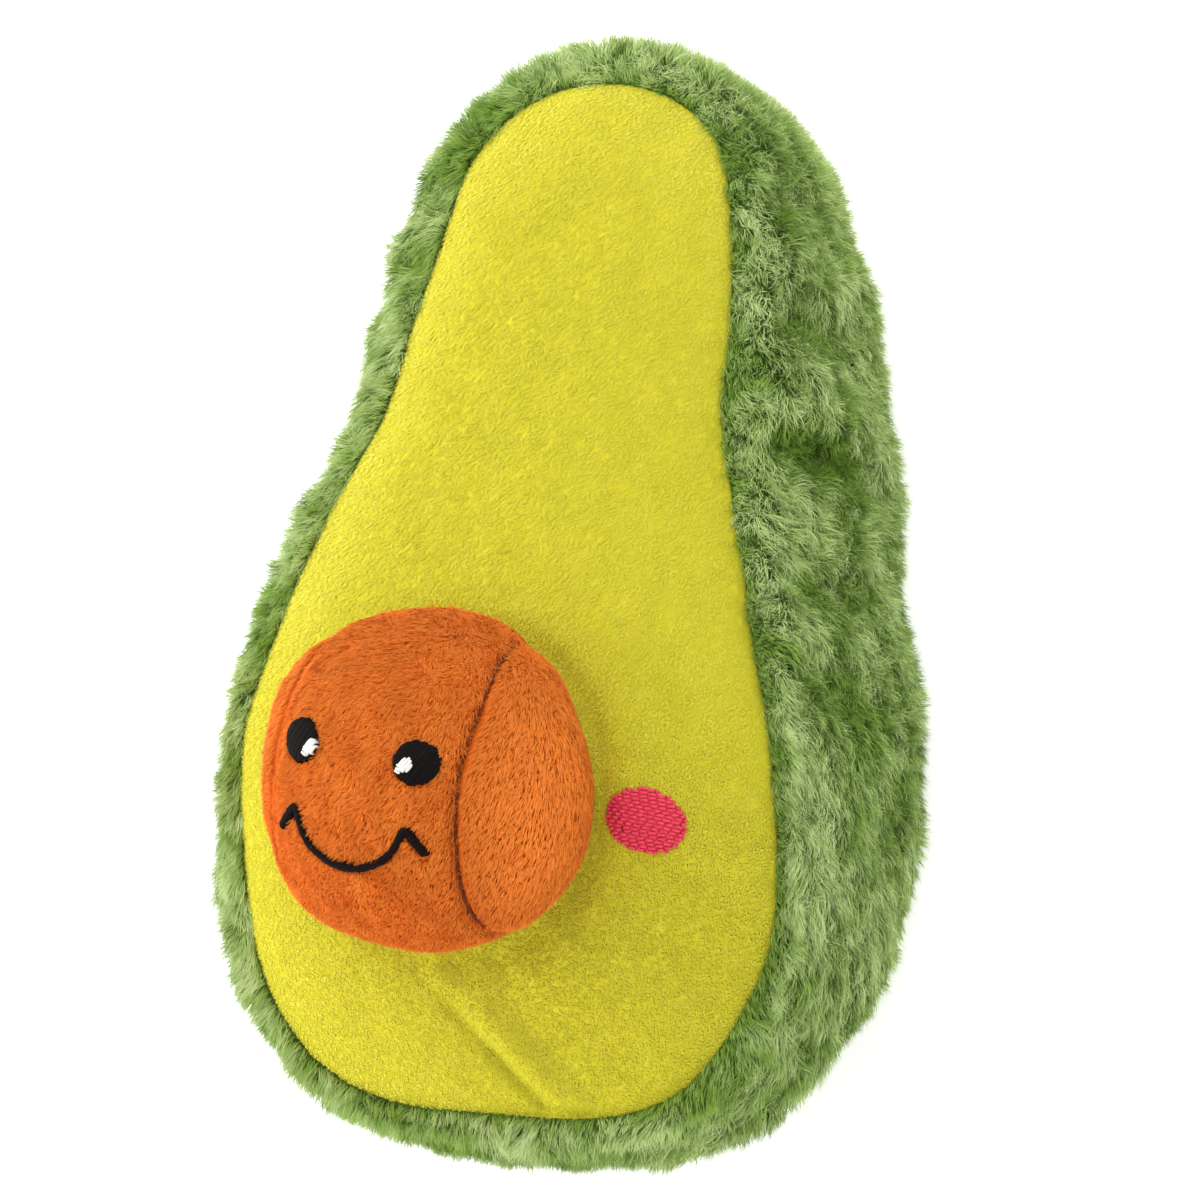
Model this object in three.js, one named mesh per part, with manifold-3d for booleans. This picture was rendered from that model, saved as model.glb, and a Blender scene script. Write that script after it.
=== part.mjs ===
// A soft plush dog toy shaped like half an avocado, with a stuffed pit sewn to its cut face.
// Lengths are millimetres and +Z is up. The toy lies on its back with its face up and its
// broad end towards -Y, and the origin is the middle of the flat that it lies on.
// The pieces are drawn upright, with the face towards -Y, and laid down at the end.

import * as THREE from "three";
import { mergeVertices } from "three/addons/utils/BufferGeometryUtils.js";
import Module from "manifold-3d";

const wasm = await Module();
wasm.setup();

// Body: the yellow cut face, the furry side wall and the furry back
const panelHeight = 211;
const panelHalfWidth = 56.8;
const rimWidth = 10.5;
const frontDepth = 27.3;
const backDepth = 48.5;
const frontCrown = 14.2;
const backCrown = 6;
const panelThickness = 2.5;
const furThickness = 5.5;
const lyingFlat = 0.5;
const seamGap = 0.3;
const stuffingGap = 0.5;
const cutOverrun = 20;

// Pit: a stuffed ball, a little flattened, that stands out from the cut face
const pitRadius = 33.4;
const pitReach = 29.4;
const pitStandOff = 7.2;
const pitRise = 57;
const pitShift = -4.2;
const pitTwist = THREE.MathUtils.degToRad(9.8);
const pitTilt = THREE.MathUtils.degToRad(13.5);
const pitSkin = 2;

// Face, embroidered on the pit, and the cheeks on the cut face
const threadThickness = 0.9;
const eyeWidth = 9.6;
const eyeHeight = 9.6;
const eyeSpread = 12.5;
const eyeRise = 6;
const glintWidth = 3.6;
const glintInward = 2.3;
const glintDrop = 0.9;
const mouthStroke = 1.6;
const mouthPeakSpread = 12.4;
const mouthPeakDrop = 6.6;
const mouthDepth = 16.1;
const mouthCornerSpread = 8.9;
const mouthCornerDrop = 13.3;
const tickSpread = 16;
const tickDrop = 11;
const cheekWidth = 16;
const cheekHeight = 12;
const cheekSpread = 41;
const cheekRise = 3.1;

// Squeaker: a bellows of thin plastic, pressed from the front, with a reed in its rear end
const squeakerRadius = 21;
const squeakerWall = 1.2;
const squeakerCover = 2.5;
const domeLength = 5;
const pleatedLength = 12;
const pleatDepth = 3;
const pleatWall = 1;
const rearLength = 6;
const housingRadius = 5;
const housingBore = 3.6;
const housingLength = 8;
const flangeRadius = 6.5;
const flangeThickness = 1;
const reedThickness = 0.4;
const reedWidth = 4.4;
const reedLength = 6.4;
const reedRoot = 1.6;
const channelWidth = 2;
const channelDepth = 1.4;

// Counts of points round and across the shapes
const outlineCount = 60;
const panelRings = 6;
const roundCount = 32;
const pitRound = 40;
const pitRings = 20;
const patchRound = 20;
const mouthSteps = 36;
const strokeSides = 6;
const pleatCount = 3;
const domeSteps = 6;
const halfRoundSteps = 8;

// Outline of the cut face from the middle of its foot, up its right side to its top:
// shares of its height and of its half width
const outlineShares = [
  [0, 0], [0.007, 0.5], [0.047, 0.77], [0.125, 0.96], [0.245, 1], [0.367, 0.97], [0.461, 0.885],
  [0.565, 0.778], [0.66, 0.678], [0.76, 0.625], [0.861, 0.54], [0.945, 0.43], [0.987, 0.24], [1, 0],
];

// Section of the side wall from the front seam to its middle: shares of the rim's width
// and of the depth. The lining has its own, inside it.
const rimShares = [[0, 1], [0.35, 1.05], [0.72, 0.94], [0.95, 0.7], [1, 0.35], [1, 0]];
const liningShares = [[0, 1], [0.6, 0.93], [1, 0.6], [1, 0]];

// Half width of the pit's middle panel, as a share of the pit's radius
const facePanelShare = 0.62;

// The body thins towards its ends: what is left there of its depths and of its rim, and
// the heights from which it thins
const frontTopShare = 0.37;
const frontFootShare = 0.27;
const backTopShare = 1;
const backFootShare = 0.41;
const rimTopShare = 1.18;
const rimFootShare = 0.72;
const thinsAboveShare = 0.4;
const thinsBelowShare = 0.35;

// The crown is full between two heights of the cut face, and lower towards its top
const spineLowShare = 0.33;
const spineHighShare = 0.72;
const frontNeckShare = 0.6;
const backNeckShare = 1;
const crownPower = 2.2;
const seamPower = 0.7;

const front = {
  depth: frontDepth,
  topShare: frontTopShare,
  footShare: frontFootShare,
  crown: frontCrown,
  neckShare: frontNeckShare,
};
const back = {
  depth: backDepth,
  topShare: backTopShare,
  footShare: backFootShare,
  crown: backCrown,
  neckShare: backNeckShare,
};
const rim = { depth: rimWidth, topShare: rimTopShare, footShare: rimFootShare };
const spineLow = panelHeight * spineLowShare;
const spineHigh = panelHeight * spineHighShare;
const backReach = backDepth + backCrown - lyingFlat;
const pitMiddle = -(frontDepth + frontCrown + pitStandOff);

const facePanelHalfWidth = pitRadius * facePanelShare;

// Places along the squeaker's axis, which is level and goes straight back from the pit.
// The edge of its front dome keeps clear of the cut face's lining.
const domeEdge = middleSurfaceAt(front, pitRise - squeakerRadius) + panelThickness + squeakerCover;
const squeakerFront = domeEdge - domeLength;
const domeEnd = squeakerFront + domeLength;
const pleatsStart = domeEnd + seamGap;
const rearStart = pleatsStart + pleatedLength + seamGap;
const rearEnd = rearStart + rearLength;
const flangeStart = rearEnd + seamGap;
const squeakerEnd = flangeStart + flangeThickness;
const housingStart = squeakerEnd - housingLength;
const reedMiddleGap = reedThickness / 2 + seamGap;

const cloth = (color) => new THREE.MeshStandardMaterial({ color, roughness: 0.95, metalness: 0 });
const thread = (color) => new THREE.MeshStandardMaterial({ color, roughness: 0.6, metalness: 0 });
const plastic = (color) => new THREE.MeshStandardMaterial({ color, roughness: 0.4, metalness: 0 });

// Points round the cut face with even spacing, the left half mirroring the right one
function outlinePoints() {
  const right = outlineShares.map(([up, across]) => [across * panelHalfWidth, up * panelHeight]);
  const left = right.slice(1, -1).reverse().map(([x, z]) => [-x, z]);
  const around = [...right, ...left].map(([x, z]) => new THREE.Vector3(x, 0, z));
  const curve = new THREE.CatmullRomCurve3(around, true, "centripetal");
  const half = curve.getSpacedPoints(outlineCount).slice(0, outlineCount / 2 + 1);
  half[0].x = 0;
  half[half.length - 1].x = 0;
  const mirrored = half.slice(1, -1).reverse().map((point) => new THREE.Vector3(-point.x, 0, point.z));
  return [...half, ...mirrored];
}

const outline = outlinePoints();
const outward = outline.map((point, index) => {
  const next = outline[(index + 1) % outline.length];
  const last = outline[(index + outline.length - 1) % outline.length];
  return new THREE.Vector3(next.z - last.z, 0, last.x - next.x).normalize();
});

// A depth or the rim's width at one height: full in the middle, less towards the ends
function taperedAt({ depth, topShare, footShare }, z) {
  const up = THREE.MathUtils.smoothstep(z, panelHeight * thinsAboveShare, panelHeight);
  const down = 1 - THREE.MathUtils.smoothstep(z, 0, panelHeight * thinsBelowShare);
  return depth * (1 - (1 - topShare) * up - (1 - footShare) * down);
}

// How far a crown stands proud at one height of its spine and one share of the way out
function crownAt({ crown, neckShare }, spineZ, share) {
  const neck = THREE.MathUtils.smoothstep(spineZ, spineLow, spineHigh);
  return crown * (1 - (1 - neckShare) * neck) * (1 - share ** crownPower) ** seamPower;
}

// Where the surface is on its middle line, at one height
function middleSurfaceAt(side, z) {
  const spineZ = THREE.MathUtils.clamp(z, spineLow, spineHigh);
  const share = z < spineZ ? (spineZ - z) / spineLow : (z - spineZ) / (panelHeight - spineHigh);
  return -taperedAt(side, z) - crownAt(side, spineZ, share);
}

// The outline moved outward by an offset
function widened(offset) {
  return outline.map((point, index) => point.clone().addScaledVector(outward[index], offset));
}

// A ring of the crowned front: the outline drawn in towards the spine by a share, and
// lowered behind the outer surface by an inset
function crownedRing(side, offset, inset, share) {
  return widened(offset).map((point) => {
    const spineZ = THREE.MathUtils.clamp(point.z, spineLow, spineHigh);
    const z = spineZ + (point.z - spineZ) * share;
    const y = inset - taperedAt(side, z) - crownAt(side, spineZ, share);
    return new THREE.Vector3(point.x * share, y, z);
  });
}

function crownedRings(side, offset, inset) {
  const steps = Array.from({ length: panelRings + 1 }, (unused, ring) => ring / panelRings);
  return steps.map((step) => crownedRing(side, offset, inset, Math.sin(step * Math.PI / 2)));
}

// Closed surface through rows of points, each row going round. Where the rows join up
// they make a ring, and otherwise the first and the last row lie folded on the spine.
function skin(rows, ring) {
  const columns = rows[0].length;
  const index = [];
  const bands = ring ? rows.length : rows.length - 1;
  for (let row = 0; row < bands; row += 1) {
    const here = row * columns;
    const ahead = ((row + 1) % rows.length) * columns;
    for (let column = 0; column < columns; column += 1) {
      const beside = (column + 1) % columns;
      index.push(here + column, ahead + column, ahead + beside);
      index.push(here + column, ahead + beside, here + beside);
    }
  }
  const geometry = new THREE.BufferGeometry().setFromPoints(rows.flat());
  geometry.setIndex(index);
  return geometry;
}

// A geometry as a solid that can be cut and joined
function solid(geometry) {
  const bare = geometry.clone();
  bare.deleteAttribute("normal");
  bare.deleteAttribute("uv");
  const merged = mergeVertices(bare);
  const corners = merged.index.array;
  const kept = [];
  for (let at = 0; at < corners.length; at += 3) {
    const [a, b, c] = corners.slice(at, at + 3);
    if (a !== b && b !== c && c !== a) kept.push(a, b, c);
  }
  const vertProperties = merged.attributes.position.array;
  return new wasm.Manifold(new wasm.Mesh({ numProp: 3, vertProperties, triVerts: Uint32Array.from(kept) }));
}

function geometryOf(shape) {
  const { vertProperties, triVerts } = shape.getMesh();
  const geometry = new THREE.BufferGeometry();
  geometry.setAttribute("position", new THREE.BufferAttribute(vertProperties, 3));
  geometry.setIndex(new THREE.BufferAttribute(triVerts, 1));
  geometry.computeVertexNormals();
  return geometry;
}

function piece(name, shape, material) {
  const mesh = new THREE.Mesh(geometryOf(shape), material);
  mesh.name = name;
  return mesh;
}

// Rear faces are made as front faces and turned round
const behind = (rows) => rows.map((row) => row.map((point) => point.clone().setY(-point.y)));

// A sheet of cloth over the crowned face, between two depths behind its outer surface
function crownedSlab(side, offset, near, far) {
  const outer = crownedRings(side, offset, near);
  const inner = crownedRings(side, offset, far).reverse();
  return skin([...outer, ...inner], false);
}

// A ring of the side wall, in front of its middle or behind it
function wallRing([out, deep], side, inset, shift) {
  return outline.map((point, index) => {
    const offset = out * (taperedAt(rim, point.z) - inset) + shift;
    const y = deep * (taperedAt(side, point.z) - inset) * (side === front ? -1 : 1);
    return point.clone().addScaledVector(outward[index], offset).setY(y);
  });
}

// Rings from the front seam over the middle of the wall to the back seam
function wallRings(shares, inset, shift) {
  const ahead = shares.map((share) => wallRing(share, front, inset, shift));
  const rear = shares.slice(0, -1).reverse();
  return [...ahead, ...rear.map((share) => wallRing(share, back, inset, shift))];
}

function gusset() {
  const outer = wallRings(rimShares, 0, seamGap / 2);
  const lining = wallRings(liningShares, furThickness, seamGap / 2);
  return solid(skin([...outer, ...lining.reverse()], true));
}

function frontPanel() {
  return solid(crownedSlab(front, -seamGap / 2, 0, panelThickness));
}

function backPanel() {
  const sheet = crownedSlab(back, -seamGap / 2, 0, furThickness);
  return solid(sheet.rotateZ(Math.PI)).subtract(underFloor());
}

function bodyStuffing() {
  const ahead = crownedRings(front, -stuffingGap, panelThickness + stuffingGap);
  const wall = wallRings(liningShares, furThickness + stuffingGap, -stuffingGap);
  const rear = behind(crownedRings(back, -stuffingGap, furThickness + stuffingGap)).reverse();
  return solid(skin([...ahead, ...wall, ...rear.slice(1)], false));
}

// Everything behind the cut face, grown by a clearance: what the pit and the cheeks stop at
function bodyBlock(clearance) {
  return solid(crownedSlab(front, 0, -clearance, frontDepth));
}

function placedOnPit(geometry) {
  return geometry.rotateX(pitTilt).rotateY(pitTwist).translate(pitShift, pitMiddle, pitRise);
}

function pitBall(growth) {
  const ball = new THREE.SphereGeometry(1, pitRound, pitRings);
  ball.scale(pitRadius + growth, pitReach + growth, pitRadius + growth);
  return solid(placedOnPit(ball));
}

// A block that covers the pit from one distance across the face to another
function pitSlice(from, to) {
  const across = to - from;
  const tall = pitRadius + cutOverrun;
  const slice = new THREE.BoxGeometry(across, tall * 2, tall * 2);
  return solid(placedOnPit(slice.translate(from + across / 2, 0, 0)));
}

function pitPieces() {
  const clearBody = bodyBlock(seamGap);
  const cover = pitBall(0).subtract(pitBall(-pitSkin)).subtract(clearBody);
  const edge = facePanelHalfWidth;
  const far = pitRadius + cutOverrun;
  const filling = pitBall(-pitSkin - seamGap).subtract(clearBody);
  return {
    face: cover.intersect(pitSlice(seamGap / 2 - edge, edge - seamGap / 2)),
    left: cover.intersect(pitSlice(-far, -edge - seamGap / 2)),
    right: cover.intersect(pitSlice(edge + seamGap / 2, far)),
    filling,
  };
}

// A patch of stitches on the pit: a layer over its skin, cut to an oval
function pitPatch(across, up, width, height, lift) {
  const layer = pitBall(lift + threadThickness).subtract(pitBall(lift));
  const oval = new THREE.CylinderGeometry(width / 2, width / 2, pitReach + cutOverrun, patchRound);
  oval.scale(1, 1, height / width);
  oval.translate(across, -(pitReach + cutOverrun) / 2, up);
  return layer.intersect(solid(placedOnPit(oval)));
}

// A point over the pit's skin, from its place across and up the face
function onPit(across, up, lift) {
  const radius = pitRadius + lift;
  const ahead = Math.sqrt(1 - (across ** 2 + up ** 2) / radius ** 2);
  return new THREE.Vector3(across, -(pitReach + lift) * ahead, up);
}

function smile() {
  const half = [
    [tickSpread, -tickDrop],
    [mouthPeakSpread, -mouthPeakDrop],
    [mouthCornerSpread, -mouthCornerDrop],
  ];
  const mirrored = half.map(([across, up]) => [-across, up]).reverse();
  const path = [...half, [0, -mouthDepth], ...mirrored];
  const lift = seamGap + mouthStroke / 2;
  const curve = new THREE.CatmullRomCurve3(path.map(([across, up]) => onPit(across, up, lift)));
  const section = new THREE.Shape();
  section.absarc(0, 0, mouthStroke / 2, 0, Math.PI * 2);
  const options = { extrudePath: curve, steps: mouthSteps, curveSegments: strokeSides };
  return solid(placedOnPit(new THREE.ExtrudeGeometry(section, options)));
}

// A patch of stitches on the cut face
function cheek(side) {
  const layer = bodyBlock(seamGap + threadThickness).subtract(bodyBlock(seamGap));
  const reach = frontDepth + frontCrown + cutOverrun;
  const oval = new THREE.CylinderGeometry(cheekWidth / 2, cheekWidth / 2, reach, patchRound);
  oval.scale(1, 1, cheekHeight / cheekWidth).translate(side * cheekSpread, 0, cheekRise).rotateY(pitTwist);
  oval.translate(pitShift, -reach / 2, pitRise);
  return layer.intersect(solid(oval)).subtract(pitBall(seamGap));
}

function placedOnAxis(geometry) {
  return solid(geometry.translate(pitShift, 0, pitRise));
}

// A turned piece, from distances out from the axis and back along it
function turned(profile) {
  const points = profile.map(([out, back]) => new THREE.Vector2(out, back));
  return placedOnAxis(new THREE.LatheGeometry(points, roundCount));
}

// Quarter oval from the axis out to the wall of the squeaker
function domeCurve(radius, length, start) {
  return Array.from({ length: domeSteps + 1 }, (unused, step) => {
    const angle = (step / domeSteps) * (Math.PI / 2);
    return [radius * Math.sin(angle), start + length * (1 - Math.cos(angle))];
  });
}

function frontDome() {
  const outer = domeCurve(squeakerRadius, domeLength, squeakerFront);
  const inside = squeakerFront + squeakerWall;
  const inner = domeCurve(squeakerRadius - squeakerWall, domeLength - squeakerWall, inside);
  return turned([...outer, ...inner.reverse()]);
}

function pleats() {
  const folds = Array.from({ length: pleatCount * 2 + 1 }, (unused, fold) => [
    squeakerRadius - (fold % 2) * pleatDepth,
    pleatsStart + (fold / (pleatCount * 2)) * pleatedLength,
  ]);
  const lining = folds.map(([out, back]) => [out - pleatWall, back]).reverse();
  return turned([...folds, ...lining, folds[0]]);
}

function rearDome() {
  const hole = housingRadius + seamGap;
  const inside = squeakerRadius - squeakerWall;
  const floor = rearEnd - squeakerWall;
  return turned([
    [squeakerRadius, rearStart],
    [squeakerRadius, floor],
    [inside, rearEnd],
    [hole, rearEnd],
    [hole, floor],
    [inside - squeakerWall, floor],
    [inside, floor - squeakerWall],
    [inside, rearStart],
    [squeakerRadius, rearStart],
  ]);
}

function reedHousing() {
  return turned([
    [housingRadius, housingStart],
    [housingRadius, flangeStart],
    [flangeRadius, flangeStart],
    [flangeRadius, squeakerEnd],
    [housingBore, squeakerEnd],
    [housingBore, housingStart],
    [housingRadius, housingStart],
  ]);
}

// Half-round block in the housing's bore, above or below the reed, ending at its back
function halfRound(side, length) {
  const radius = housingBore - seamGap;
  const edge = Math.asin(reedMiddleGap / radius);
  const section = new THREE.Shape();
  section.absarc(0, 0, radius, edge, Math.PI - edge);
  const options = { depth: length, bevelEnabled: false, curveSegments: halfRoundSteps };
  const block = new THREE.ExtrudeGeometry(section, options);
  block.rotateX(Math.PI / 2).translate(0, length, 0);
  if (side < 0) block.rotateY(Math.PI);
  return placedOnAxis(block.translate(0, squeakerEnd - length, 0));
}

// The bed under the reed, with the channel that the air goes through
function reedSeat() {
  const channel = new THREE.BoxGeometry(channelWidth, housingLength + cutOverrun, channelDepth * 2);
  channel.translate(0, squeakerEnd, -reedMiddleGap);
  return halfRound(-1, housingLength).subtract(placedOnAxis(channel));
}

function reedTongue() {
  const film = new THREE.BoxGeometry(reedWidth, reedLength, reedThickness);
  return placedOnAxis(film.translate(0, squeakerEnd - reedLength / 2, 0));
}

function squeakerPocket() {
  const radius = squeakerRadius + seamGap;
  const reach = squeakerEnd + seamGap - pitMiddle;
  const pocket = new THREE.CylinderGeometry(radius, radius, reach, roundCount);
  return placedOnAxis(pocket.translate(0, pitMiddle + reach / 2, 0));
}

// Everything behind the flat that the toy lies on
function underFloor() {
  const wide = (panelHeight + cutOverrun) * 2;
  const block = new THREE.BoxGeometry(wide, wide, wide);
  return solid(block.translate(0, backReach + wide / 2, 0));
}

const green = cloth(0x7a934e);
const yellow = cloth(0xcfc837);
const orange = cloth(0xdb7531);
const fibre = cloth(0xf2f0ea);
const black = thread(0x1d1b18);
const white = thread(0xf4f3ee);
const brown = thread(0x2b211b);
const pink = thread(0xd24351);
const squeakerPlastic = plastic(0xeceae2);
const film = plastic(0xd8d6cf);

const pit = pitPieces();
const eyeLift = seamGap;
const glintLift = eyeLift + threadThickness + seamGap;

// An eye or its glint: the glint sits towards the middle of the face
function eye(side) {
  return pitPatch(side * eyeSpread, eyeRise, eyeWidth, eyeHeight, eyeLift);
}

function glint(side) {
  return pitPatch(side * (eyeSpread - glintInward), eyeRise - glintDrop, glintWidth, glintWidth, glintLift);
}

const toy = new THREE.Group();
toy.rotation.x = -Math.PI / 2;
toy.position.set(0, -panelHeight / 2, backReach);
toy.add(
  piece("front_panel", frontPanel(), yellow),
  piece("side_gusset", gusset(), green),
  piece("back_panel", backPanel(), green),
  piece("body_stuffing", bodyStuffing().subtract(squeakerPocket()), fibre),
  piece("pit_face_panel", pit.face, orange),
  piece("pit_side_panel_left", pit.left, orange),
  piece("pit_side_panel_right", pit.right, orange),
  piece("pit_stuffing", pit.filling, fibre),
  piece("eye_left", eye(-1), black),
  piece("eye_right", eye(1), black),
  piece("eye_glint_left", glint(-1), white),
  piece("eye_glint_right", glint(1), white),
  piece("mouth", smile(), brown),
  piece("cheek_left", cheek(-1), pink),
  piece("cheek_right", cheek(1), pink),
  piece("squeaker_front_dome", frontDome(), squeakerPlastic),
  piece("squeaker_pleats", pleats(), squeakerPlastic),
  piece("squeaker_rear_dome", rearDome(), squeakerPlastic),
  piece("squeaker_reed_housing", reedHousing(), squeakerPlastic),
  piece("squeaker_reed_seat", reedSeat(), squeakerPlastic),
  piece("squeaker_reed_tongue", reedTongue(), film),
  piece("squeaker_reed_clamp", halfRound(1, reedRoot), squeakerPlastic),
);

export default toy;
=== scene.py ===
# The looks of a stuffed avocado dog toy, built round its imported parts.
# Shapes are worked out in millimetres with the toy upright: x right, y back, z up from the
# lowest point of the yellow face. world() lays them down on the back, in metres.

import math

import bmesh
import bpy
import numpy as np
from mathutils import Matrix, Vector
from mathutils.kdtree import KDTree

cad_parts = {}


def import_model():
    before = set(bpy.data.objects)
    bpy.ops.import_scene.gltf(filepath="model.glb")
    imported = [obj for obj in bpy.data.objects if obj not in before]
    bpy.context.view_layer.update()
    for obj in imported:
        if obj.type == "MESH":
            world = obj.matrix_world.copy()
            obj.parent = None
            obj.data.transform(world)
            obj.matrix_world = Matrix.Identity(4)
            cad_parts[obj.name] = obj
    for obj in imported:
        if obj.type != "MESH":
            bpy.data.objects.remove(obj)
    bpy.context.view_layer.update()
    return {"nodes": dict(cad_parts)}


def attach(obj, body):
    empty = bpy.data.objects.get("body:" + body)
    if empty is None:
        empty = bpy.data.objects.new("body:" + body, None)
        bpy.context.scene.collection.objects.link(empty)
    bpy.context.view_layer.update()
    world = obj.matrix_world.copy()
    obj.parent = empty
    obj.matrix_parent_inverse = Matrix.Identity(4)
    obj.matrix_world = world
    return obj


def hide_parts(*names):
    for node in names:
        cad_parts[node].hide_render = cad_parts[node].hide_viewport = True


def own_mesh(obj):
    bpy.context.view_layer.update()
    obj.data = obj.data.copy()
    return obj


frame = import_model()
bpy.context.scene.view_settings.view_transform = "Standard"

MM = 0.001
DOWN = np.array([0, 0, -1.0])
BACKWARDS = np.array([0, 1.0, 0])

# Body
HEIGHT = 211.0
HALF_WIDTH = 56.8
RIM = 10.5
FRONT_DEPTH = 27.3
BACK_DEPTH = 48.5
FRONT_CROWN = 14.2
BACK_CROWN = 6.0
LYING_FLAT = 0.5
BACK_REACH = BACK_DEPTH + BACK_CROWN - LYING_FLAT
SPINE_LOW = 0.33 * HEIGHT
SPINE_HIGH = 0.72 * HEIGHT
OUTLINE = [
    (0, 0), (0.007, 0.5), (0.047, 0.77), (0.125, 0.96), (0.245, 1), (0.367, 0.97), (0.461, 0.885),
    (0.565, 0.778), (0.66, 0.678), (0.76, 0.625), (0.861, 0.54), (0.945, 0.43), (0.987, 0.24), (1, 0),
]
WALL = [(0, 1), (0.35, 1.05), (0.72, 0.94), (0.95, 0.7), (1, 0.35), (1, 0)]

# How far the sewn edge and the wall lie outside the even outline, by share of the way round
# from the foot, up the right side first. Measured against the outlines in the photograph
EDGE_SHIFTS = [
    (0.016, 0.8), (0.067, 0.6), (0.1, -1.5), (0.11, -0.7), (0.12, -0.4), (0.14, 2.4), (0.151, 2.3),
    (0.167, 3.3), (0.189, 2.7), (0.2, 2.3), (0.217, 1.3), (0.233, 0.1), (0.267, 0.6), (0.287, -0.1),
    (0.3, -0.3), (0.318, -0.6), (0.333, -0.7), (0.35, 0.1), (0.367, 0.3), (0.383, 0.6), (0.4, 1.1),
    (0.433, 1.6), (0.467, 0.6), (0.5, 1.1), (0.522, 1.6), (0.533, 1.7), (0.567, 1.8), (0.6, -0.4),
    (0.633, -1.2), (0.651, -1.9), (0.667, -2.4), (0.683, -1.4), (0.7, -0.4), (0.733, 0), (0.767, -0.3),
    (0.79, 0.8), (0.8, 0.5), (0.833, -0.4), (0.867, -0.4), (0.9, -0.2), (0.914, -0.4), (0.933, -1),
    (0.967, -0.6),
]
WALL_SHIFTS = [
    (0, 1), (0.018, 1.3), (0.05, 0.4), (0.1, 0.4), (0.146, -0.2), (0.16, -0.1), (0.2, -1.2), (0.233, -0.1),
    (0.267, 0.2), (0.3, 1), (0.32, 3.8), (0.345, 4.6), (0.37, 2.2), (0.4, 1), (0.433, -1.3), (0.453, 1.6),
    (0.467, -0.1), (0.5, 2.6), (0.533, 2.4), (0.553, 3), (0.567, 4.3), (0.6, 5.7), (0.611, 5.8), (0.64, 2.8),
    (0.66, 1.9), (0.7, 2.6), (0.733, 3.6), (0.767, 1.7), (0.8, -3.2), (0.825, 2.3), (0.84, 5.6), (0.85, 6),
    (0.872, 2.7), (0.882, 0.9), (0.9, -0.4), (0.928, -0.9), (0.94, -2.3), (0.97, -2.1),
]
# Creases of the wall's right side: height, rise towards the back, width and depth
CREASES = [
    (135.5, 0.08, 3.0, 5.2), (163, 0.15, 5.0, 2.4), (109, 0.15, 4.5, 2.2), (88, 0.15, 5.5, 2.0),
    (190, 0.1, 5.0, 1.4),
]

# Pit
PIT_RADIUS = 33.4
PIT_REACH = 29.4
PIT_CENTRE = np.array([-4.2, -48.7, 57.0])
PIT_TILT = math.radians(13.5)
PIT_TWIST = math.radians(9.8)
PIT_SEAM = 0.62 * PIT_RADIUS
# How far in from that the right seam runs in the photograph, by its turn in degrees up from
# straight ahead
SEAM_DRIFT = [
    (-180, 3), (-110, -0.4), (-20, -0.3), (10, 0.4), (40, 0.6), (60, 2.0), (80, 3.9), (90, 5.3), (110, 6.5),
]
# How far the pit's outline in the photograph lies outside the even one, by its angle in degrees
PIT_SHIFTS = [
    (1, 0.1), (16, -0.9), (31, -1.0), (46, -0.1), (61, 0.3), (76, 0.6), (91, -0.1), (106, -0.8),
    (121, -0.4), (136, 0.1), (151, 0.2), (166, -1.9), (181, -3.2), (196, -3.4), (211, -2.0), (226, 0.2),
    (241, -0.4), (256, -1.3), (271, -1.8), (286, -1.2), (301, -0.8), (316, 0.8), (331, 1.6), (346, 1.4),
]

# Face
EYE_SPREAD, EYE_RISE, EYE_SIZE = 12.5, 6.0, 8.5
MOUTH_PEAK = (12.4, -6.6)
MOUTH_TICK = (16.0, -11.0)
MOUTH_BOW = [(-8.9, -12.6), (-4.6, -15.3), (0, -16.1), (4.6, -15.3), (8.9, -12.6)]
CHEEK_WIDTH, CHEEK_HEIGHT, CHEEK_SPREAD, CHEEK_RISE = 15.4, 11.8, 41.0, 3.1
CHEEK_ROW, CHEEK_STITCH, CHEEK_SLANT = 0.7, 1.7, math.radians(9)
TICK_WIDTHS, MOUTH_WIDTH = (1.8, 1.7), 1.25
# The left cheek sits further in, where the pit hides it
LEFT_CHEEK_IN = 3.0

# Dart at the foot of the yellow face, from its toe to its tip
DART_TOE = np.array([12.0, -0.6])
DART_TIP = np.array([-4.5, 15.5])

# Backings under the pile
FACE_CLOTH, WALL_CLOTH, PIT_CLOTH = 1.2, 1.0, 0.9

# How far the green cloth lies under the outside of its pile
WALL_PILE, BACK_PILE = 4.2, 4.6

# Strands to a square millimetre, their width and length.
WALL_DENSITY, WALL_STRAND = ((6.2, 0.16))
BACK_DENSITY, BACK_STRAND, BACK_LENGTH = 2.4, 0.26, 5.6
FACE_DENSITY, FACE_STRAND, FACE_LENGTH = 9.5, 0.19, 0.9
PIT_DENSITY, PIT_STRAND, PIT_LENGTH = 11, 0.18, 1.9
# A piece of pile has fewer faces than the most that an export keeps
MOST_FACES = 195000

# Pleated wall of the squeaker
PLEATS_END, PLEATS_LENGTH, PLEATS_RADIUS, PLEATS_DEPTH, PLEATS_WALL = -11.8, 12.0, 21, 3.0, 0.8

# The photograph's camera, in the upright frame
IMAGE = 1200
AIM = np.array([0.0, 0.0, 115.0])
AIM_PIXEL = (578.9, 556.1)
DISTANCE = 1225.0
PIXELS_PER_MM = 4.95
AZIMUTH = math.radians(26.23)
ELEVATION = math.radians(-13.7)
ROLL = math.radians(5.98)


def world(points):
    p = np.asarray(points, float)
    return np.stack([p[..., 0], p[..., 2] - HEIGHT / 2, BACK_REACH - p[..., 1]], -1) * MM


def world_direction(v):
    v = np.asarray(v, float)
    return np.stack([v[..., 0], v[..., 2], -v[..., 1]], -1)


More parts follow.
